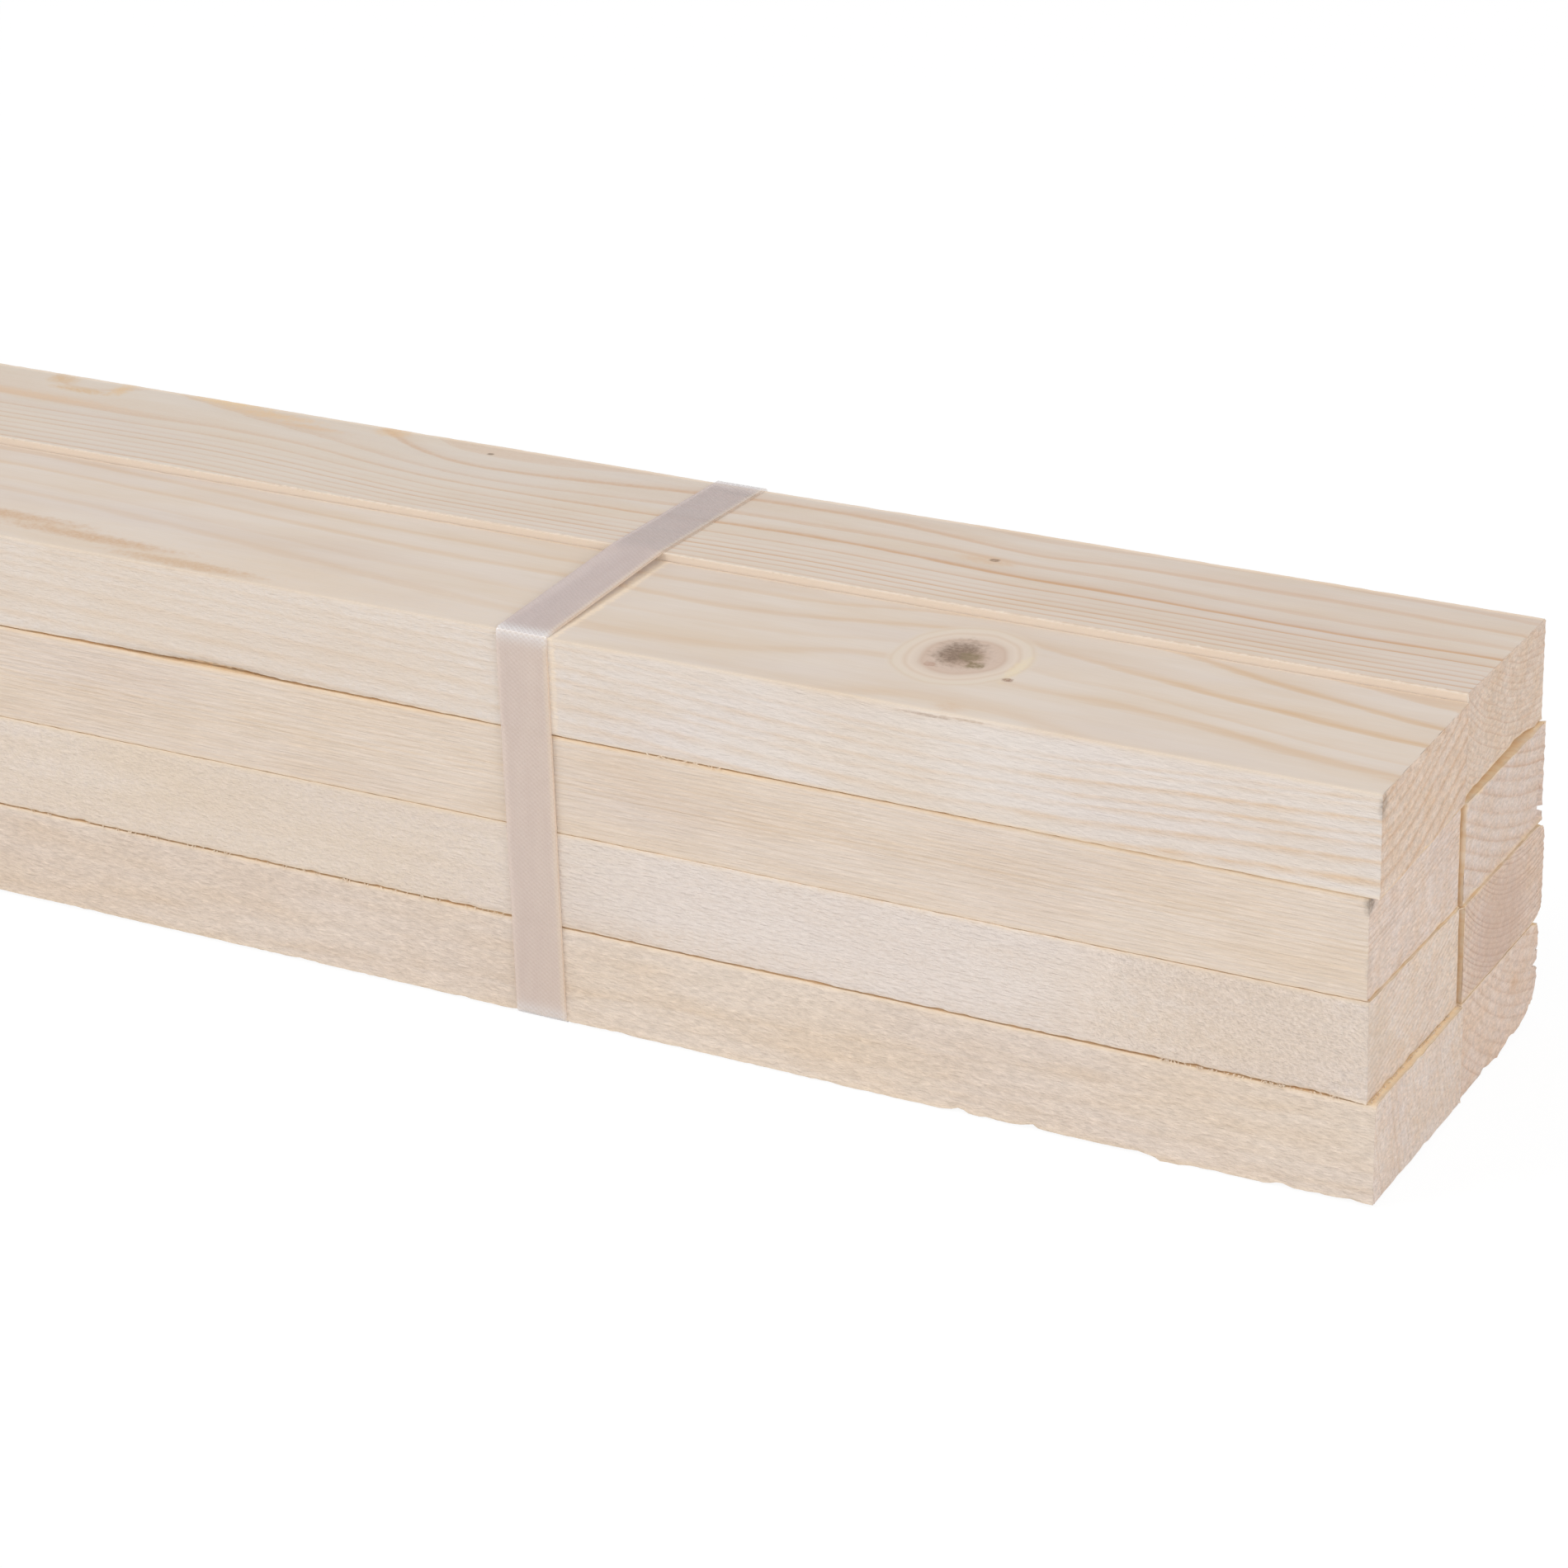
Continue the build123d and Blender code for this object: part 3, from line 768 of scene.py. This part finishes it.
top_front_wood = spruce(
    "spruce_top_front",
    sawn_face=((229, 219, 211), (222, 193, 162)), end_grain=((226, 207, 192), (202, 162, 126)),
    smooth_face=((221, 208, 196), (212, 182, 150)), contrast=(0.85, 0.7, 0.6),
    fibres=(2.6, 0.6, 0.038), relief=0.14, uneven=0.4,
    knots=[(-100.0, 27.2, 88.0, 8.8, 9.4)],
    marks=[
        (-262.0, 0.0, 77.0, 80.0, 14.0, (224, 207, 189), 0.6, 0.6),
        (-101.6, 28.6, 88.0, 4.2, 5.4, (128, 108, 92), 0.9, 0.55),
        (-95.6, 23.8, 88.0, 1.8, 1.8, (134, 118, 88), 0.9, 0.4),
        (-98.2, 27.6, 88.0, 2.4, 2.0, (140, 124, 96), 0.8, 0.5),
        (-104.3, 20.8, 88.0, 1.2, 1.0, (180, 148, 130), 0.7, 0.3),
        (-86.6, 19.9, 88.0, 1.2, 0.9, (152, 122, 106), 0.95, 0.3),
        (-87.2, 26.0, 88.0, 1.3, 6.0, (238, 220, 178), 0.4, 0.6),
        (-91.0, 3.0, 88.0, 3.0, 2.0, (212, 180, 150), 0.4, 0.6),
        (2.2, 0.9, 85.2, 1.3, 2.4, (138, 124, 113), 0.75, 0.6),
        # Painted shade: a dark line along the bottom front arris left of the strap, where the seam with the
        # batten below is deepest.
        (-270.0, 0.9, 66.1, 24.0, 0.8, (150, 124, 98), 0.6, 0.6),
        (-332.0, 11.6, 88.0, 22.0, 2.0, (206, 174, 144), 0.85, 0.6),
        (-302.0, 7.6, 88.0, 20.0, 1.9, (206, 174, 144), 0.85, 0.6),
        (-274.0, 3.0, 88.0, 17.0, 1.9, (208, 178, 148), 0.85, 0.6),
        (-94.4, 0.0, 86.8, 5.4, 0.3, (192, 173, 158), 0.9, 0.5),
        (-86.0, 0.0, 87.2, 5.0, 0.25, (200, 180, 162), 0.9, 0.5),
        # Painted light: warm pale strips on the top and front beside the strap's edge towards the near end,
        # for light that comes through the strap.
        (-180.8, 30.0, 88.0, 1.2, 27.0, (246, 226, 200), 0.75, 0.6),
        (-181.0, 0.0, 78.0, 0.8, 14.0, (246, 228, 206), 0.4, 0.5),
    ],
    seed=7.0,
)
batten(
    "batten_top_front",
    top_front_rings,
    {"top": 0.0, "front": 1.0, "rear": 0.5},
    {"top": 1.0, "front": 0.55},
    top_front_wood, near_step=1.1, ridge=0.05, fibre=(0.06, 2.4), end_ridge=0.2, seed=71,
    bold=lambda ring, x: (0.6 + 0.48 * ease(-90, -35, x)) * np.interp(
        ring, (-6.0, -3.1, -2.1, -1.1, -0.1, 0.9), (1.3, 0.8, 1.2, 1.3, 0.45, 0.7)),
    torn=[((-160.0, 0.2, 66.4), (-140.0, 0.2, 66.4), 16, (0.0, -0.3, -0.6), (2.5, 0.15, 0.3))],
    chips=[
        (-293.0, 0.0, 66.1, 30.0, 1.0, 0.7),
        (-265.0, 0.0, 66.1, 13.0, 1.1, 0.9),
        (-235.0, 0.0, 66.1, 26.0, 0.9, 0.5),
        (-150.0, 0.0, 66.1, 60.0, 0.7, 0.3),
        (-90.0, 0.0, 88.0, 8.0, 0.7, 0.3),
    ],
)


def top_rear_rings(x, y, z):
    """Fine rings beside the step and wider ones behind, with an eye far from the near end."""
    depth = REAR_TOP - (y - REAR_START) * REAR_FALL - z
    stations = (-378, -340, -310, -290, -277, -265, -250, -230, -194,
                -180, -150, -128, -110, -87, -55, -30, 0)
    on_top = traced(x, y, stations, [
        (-19.0, [24] * len(stations)),
        (-3.0, (68.5, 69.6, 70.3, 68.3, 66.3, 64.8, 62.8, 62.5, 62.8,
                64.5, 65, 63.8, 62.8, 63.3, 63, 62.8, 63.5)),
        (-2.0, (75.8, 74.6, 76, 74.2, 71.5, 69.3, 67.6, 67.3, 68.3,
                70.8, 71.2, 69.8, 68.2, 68.5, 67.5, 67.2, 68.2)),
        (-1.0, (106, 96, 85.5, 81.3, 77.8, 74.8, 72.8, 72.6, 76.8,
                78, 78.8, 77.8, 75.3, 76.8, 75, 74.2, 75.2)),
        (0.0, (110, 110, 104, 99, 89.5, 81.8, 78.5, 79.8, 85.3,
               87.2, 87.5, 84.8, 81.2, 84.4, 85, 84, 83.2)),
        (1.0, (120, 120, 116, 112, 104, 90, 86.5, 88.3, 95,
               97, 97, 94, 91, 93.5, 94, 93, 90.5)),
    ])
    eye = ((x + 363) / 10) ** 2 + ((y - 92) / 7) ** 2
    on_top = -on_top - 1.1 * np.exp(-eye)
    below = (np.hypot(y - 101.0, z - 149.0) - 60.0) / 1.35 + 0.35 * noise(y / 7, z / 7, 0.5, 83)
    share = ease(0.2, 1.5, depth)
    number = (1 - share) * (on_top + depth / 3) + share * below
    return number + 0.9 + 0.05 * noise(x / 25, y / 6, z / 9, 82)


top_rear_wood = spruce(
    "spruce_top_rear",
    smooth_face=((219, 206, 194), (207, 172, 142)), end_grain=((222, 204, 189), (196, 158, 132)),
    contrast=(0.8, 0.7, 0.4),
    marks=[
        (-330.0, 72.0, 88.7, 140.0, 34.0, (220, 210, 197), 0.4, 0.7),
        # A pale band along the step: partly the step's own pale sawn wood, partly painted light that also
        # covers the shade at its foot.
        (-100.0, 47.7, 88.6, 500.0, 1.0, (238, 222, 205), 2.0, 0.5),
        (-118.0, 74.4, 89.0, 6.0, 2.0, (214, 184, 156), 0.7, 0.6),
        (-116.3, 75.0, 89.0, 1.1, 0.8, (146, 120, 100), 0.95, 0.4),
        (-249.7, 87.6, 88.5, 0.9, 0.7, (140, 122, 104), 0.9, 0.35),
        (-371.0, 89.6, 88.4, 3.4, 2.6, (214, 183, 147), 0.8, 0.7),
        (-362.0, 84.6, 88.4, 7.0, 1.6, (214, 183, 147), 0.9, 0.7),
        (-353.5, 88.6, 88.4, 2.0, 3.4, (222, 190, 150), 0.8, 0.7),
        (-324.0, 91.8, 88.4, 9.0, 1.8, (226, 196, 156), 0.8, 0.7),
        (-311.0, 88.8, 88.4, 11.0, 2.0, (222, 190, 152), 0.8, 0.7),
        (-298.0, 85.4, 88.4, 9.0, 1.2, (218, 186, 152), 0.7, 0.7),
        (-278.0, 90.6, 88.4, 4.0, 2.4, (222, 190, 154), 0.7, 0.6),
        (-372.0, 76.6, 88.7, 26.0, 2.2, (220, 188, 156), 0.6, 0.8),
    ],
    seed=8.0,
)
batten(
    "batten_top_rear",
    top_rear_rings,
    {"rear": 1.0, "top": 0.0, "front": 0.15},
    {"rear": 0.9, "top": 0.9, "front": 1.6},
    top_rear_wood, dense_to=400, ragged=0.12, seed=81,
    bold=lambda ring, x: 1 + 0.3 * np.sin(5.1 * ring + x / 90),
)

# The two straps. Each is 12 mm polypropylene strapping, milky and see-through, with a pattern of small
# diamonds rolled into it. It is pulled tight round the stack, and its ends are lapped and welded.

# The size of the diamonds, how much they are drawn out, and how deep they are pressed.
DIAMOND = 1.05
DIAMOND_SLANT = 0.8
PRESSED = 0.1
# How far a painted highlight reaches from a bend, and the heights between which it comes over the top.
BEND_REACH = 1.9
OVER_TOP = (87.9, 88.4)

strapping = bpy.data.materials.new("clear_strapping")
strapping.use_nodes = True
tree = strapping.node_tree
tree.nodes.clear()
spot = put(tree, "TexCoord").outputs["Object"]
place = put(tree, "VectorMath", (spot, (1 / MM,) * 3), operation="MULTIPLY").outputs[0]
cloudy = grain(tree, place, (2.5, 9.0, 9.0))
colour = between(tree, cloudy, linear(232, 213, 203), linear(242, 225, 214))
# Over the top the strap is painted cooler and greyer: painted light, for the cool light it reflects from
# above.
over = put(tree, "Attribute", attribute_name="over").outputs["Fac"]
colour = between(tree, over, colour, linear(233, 233, 241), "MULTIPLY")
lit = put(tree, "Attribute", attribute_name="lit").outputs["Fac"]
colour = between(tree, sum_of(tree, "MULTIPLY", lit, 0.6), colour, linear(252, 232, 208))
# The pressed valleys between the diamonds are painted a little darker: painted shade.
rib = put(tree, "Attribute", attribute_name="rib").outputs["Fac"]
colour = between(tree, rib, between(tree, 1.0, colour, linear(247, 246, 245), "MULTIPLY"), colour)
# A painted highlight on the bends, brightest on the raised diamonds.
bend = put(tree, "Attribute", attribute_name="bend").outputs["Fac"]
bend_highlight = sum_of(tree, "MULTIPLY", bend, sum_of(tree, "MULTIPLY_ADD", rib, 0.6, 0.4))
colour = between(tree, bend_highlight, colour, linear(252, 250, 251))
drawn = grain(tree, place, (0.18, 5.0, 5.0))
bump = put(tree, "Bump", {"Strength": 0.5, "Distance": 0.08 * MM, "Height": drawn})
inputs = {"Base Color": colour, "Roughness": 0.24, "Specular IOR Level": 0.9, "Alpha": 0.58,
          "Normal": bump.outputs[0]}
surface = put(tree, "BsdfPrincipled", inputs)
tree.links.new(surface.outputs[0], put(tree, "OutputMaterial").inputs[0])


def strap(node, steps, across_step):
    """One strap: the loop of its CAD solid, with the diamonds pressed into its outer face."""
    solid, low, high = solid_of(node)
    places, inward, _, _, _ = walk_round(low, high, steps)
    middle = (low[0] + high[0]) / 2
    outer, inner = [], []
    for point, way in zip(places, inward):
        direction = Vector((0, *way))
        hit = solid.ray_cast(Vector((middle, *(point - OUTSIDE * way))), direction)[0]
        outer.append(hit.yz)
        inner.append(solid.ray_cast(hit + 0.01 * direction, direction)[0].yz)
    outer, inner = np.array(outer), np.array(inner)
    run = np.concatenate([[0], np.cumsum(np.linalg.norm(np.diff(outer, axis=0), axis=1))])
    across = np.linspace(low[0], high[0], round((high[0] - low[0]) / across_step) + 1)
    one = (run[None] + DIAMOND_SLANT * across[:, None]) / DIAMOND
    two = (run[None] - DIAMOND_SLANT * across[:, None]) / DIAMOND
    rib = np.maximum(np.abs(one % 1 - 0.5), np.abs(two % 1 - 0.5)) * 2
    margin = ease(0.3, 0.9, np.minimum(across - low[0], high[0] - across))[:, None]
    raised = ease(0.45, 0.95, rib)
    depth = PRESSED * margin * (1 - raised)
    face = outer[None] + inward[None] * depth[..., None]
    rows = len(across)
    points = np.zeros((rows + 2, len(outer), 3))
    points[:rows, :, 0] = across[:, None]
    points[:rows, :, 1:] = face
    points[rows, :, 0] = high[0]
    points[rows + 1, :, 0] = low[0]
    points[rows:, :, 1:] = inner
    index = np.arange(points.shape[0] * points.shape[1]).reshape(points.shape[:2])
    up = np.roll(index, -1, axis=0)
    ahead, up_ahead = np.roll(index, -1, axis=1), np.roll(up, -1, axis=1)
    quads = np.stack([index, ahead, up_ahead, up], axis=-1).reshape(-1, 4)
    ribs = np.ones(points.shape[:2])
    ribs[:rows] = raised
    # Light that goes through the strap brightens the edge on the side of the near ends.
    lit_edge = np.ones(points.shape[:2])
    lit_edge[:rows] = ease(high[0] - 1.4, high[0] - 0.2, across)[:, None]
    lit_edge[rows + 1] = 0
    corners = [(y, z) for y in (low[1] + 1, high[1] - 2) for z in (low[2] + 1, FRONT_TOP)]
    to_bend = np.min([np.hypot(outer[:, 0] - y, outer[:, 1] - z) for y, z in corners], axis=0)
    bends = np.broadcast_to(np.exp(-(to_bend / BEND_REACH) ** 2), points.shape[:2])
    over_top = np.broadcast_to(ease(*OVER_TOP, outer[:, 1]), points.shape[:2])
    facts = {"rib": ribs.ravel(), "bend": bends.ravel(), "over": over_top.ravel(), "lit": lit_edge.ravel()}
    piece = skin_piece(node + "_band", points.reshape(-1, 3), quads.tolist(), facts, strapping)
    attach(piece, "root")
    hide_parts(node)


strap("strap_near", {"bottom": 0.8, "rear": 0.6, "top": 0.3, "front": 0.3}, 0.3)
strap("strap_far", {"bottom": 0.8, "rear": 0.6, "top": 0.5, "front": 0.5}, 0.5)

# The floor that the bundle lies on, and the light. The floor is plain white and keeps a soft shadow.
# Three soft lamps light the bundle from above, from its front and from its near end.


def seen_itself(tree):
    """1 where the camera sees a surface itself, in gloss or through the straps, and otherwise 0."""
    path = put(tree, "LightPath")
    seen = sum_of(tree, "MAXIMUM", path.outputs["Is Camera Ray"], path.outputs["Is Glossy Ray"])
    return sum_of(tree, "MAXIMUM", seen, path.outputs["Is Transmission Ray"])


WHITE = (1.0, 1.0, 1.0, 1.0)
HALF_FLOOR = 4.0
# The camera sees so much of the floor as plain white, and the rest as paint that takes the shadow.
PLAIN_SHARE = 0.9
floor_corners = [(x * HALF_FLOOR, y * HALF_FLOOR, 0) for x, y in ((-1, -1), (1, -1), (1, 1), (-1, 1))]
floor_mesh = bpy.data.meshes.new("floor")
floor_mesh.from_pydata(floor_corners, [], [(0, 1, 2, 3)])
floor = bpy.data.objects.new("floor", floor_mesh)
bpy.context.scene.collection.objects.link(floor)
floor_paint = bpy.data.materials.new("floor_paint")
floor_paint.use_nodes = True
tree = floor_paint.node_tree
tree.nodes.clear()
shown = seen_itself(tree)
matt = put(tree, "BsdfDiffuse", {"Color": (0.88, 0.88, 0.88, 1.0)})
plain = put(tree, "Emission", {"Color": WHITE, "Strength": 1.03})
shown = sum_of(tree, "MULTIPLY", shown, PLAIN_SHARE)
mixed = put(tree, "MixShader", {0: shown, 1: matt.outputs[0], 2: plain.outputs[0]})
tree.links.new(mixed.outputs[0], put(tree, "OutputMaterial").inputs[0])
floor_mesh.materials.append(floor_paint)

world = bpy.data.worlds.new("studio")
bpy.context.scene.world = world
world.use_nodes = True
tree = world.node_tree
tree.nodes.clear()
shown = seen_itself(tree)
soft_light = put(tree, "Background", {"Color": WHITE, "Strength": 0.64})
plain = put(tree, "Background", {"Color": WHITE, "Strength": 1.0})
mixed = put(tree, "MixShader", {0: shown, 1: soft_light.outputs[0], 2: plain.outputs[0]})
tree.links.new(mixed.outputs[0], put(tree, "OutputWorld").inputs[0])


def softbox(name, place, target, size, power):
    """A soft lamp of a size in metres, at a place and turned to a target."""
    lamp = bpy.data.lights.new(name, "AREA")
    lamp.shape = "RECTANGLE"
    lamp.size, lamp.size_y = size
    lamp.energy = power
    box = bpy.data.objects.new(name, lamp)
    box.location = place
    box.rotation_euler = (Vector(target) - Vector(place)).to_track_quat("-Z", "Y").to_euler()
    bpy.context.scene.collection.objects.link(box)


softbox("key_light", (-0.36, -1.2, 2.16), (0.8, 0.0, 0.05), (0.9, 0.6), 19.5)
softbox("front_light", (0.9, -2.8, 0.9), (0.7, 0.0, 0.05), (1.4, 0.9), 3.5)
softbox("end_light", (2.9, -0.8, 1.1), (0.95, 0.0, 0.05), (1.0, 1.0), 17.0)

# The camera stands where the photograph was taken from. Its angles are measured round the object from
# the front, up from level, and round its own line of sight.

CAMERA_PLACE = (1.28835, -0.78633, 0.44808)
CAMERA_ANGLES = (29.333, 24.245, -1.747)
camera_data = bpy.data.cameras.new("camera")
camera_data.lens = 105.9
camera_data.sensor_width = 36.0
camera = bpy.data.objects.new("camera", camera_data)
azimuth, elevation, roll = (math.radians(angle) for angle in CAMERA_ANGLES)
back = Vector((math.sin(azimuth) * math.cos(elevation), -math.cos(azimuth) * math.cos(elevation),
               math.sin(elevation)))
level = Vector((0, 0, 1)).cross(back).normalized()
upright = back.cross(level)
right = level * math.cos(roll) + upright * math.sin(roll)
top = upright * math.cos(roll) - level * math.sin(roll)
turn = Matrix((right, top, back)).transposed().to_4x4()
camera.matrix_world = Matrix.Translation(CAMERA_PLACE) @ turn
bpy.context.scene.collection.objects.link(camera)
bpy.context.scene.camera = camera
bpy.context.scene.view_settings.view_transform = "Standard"
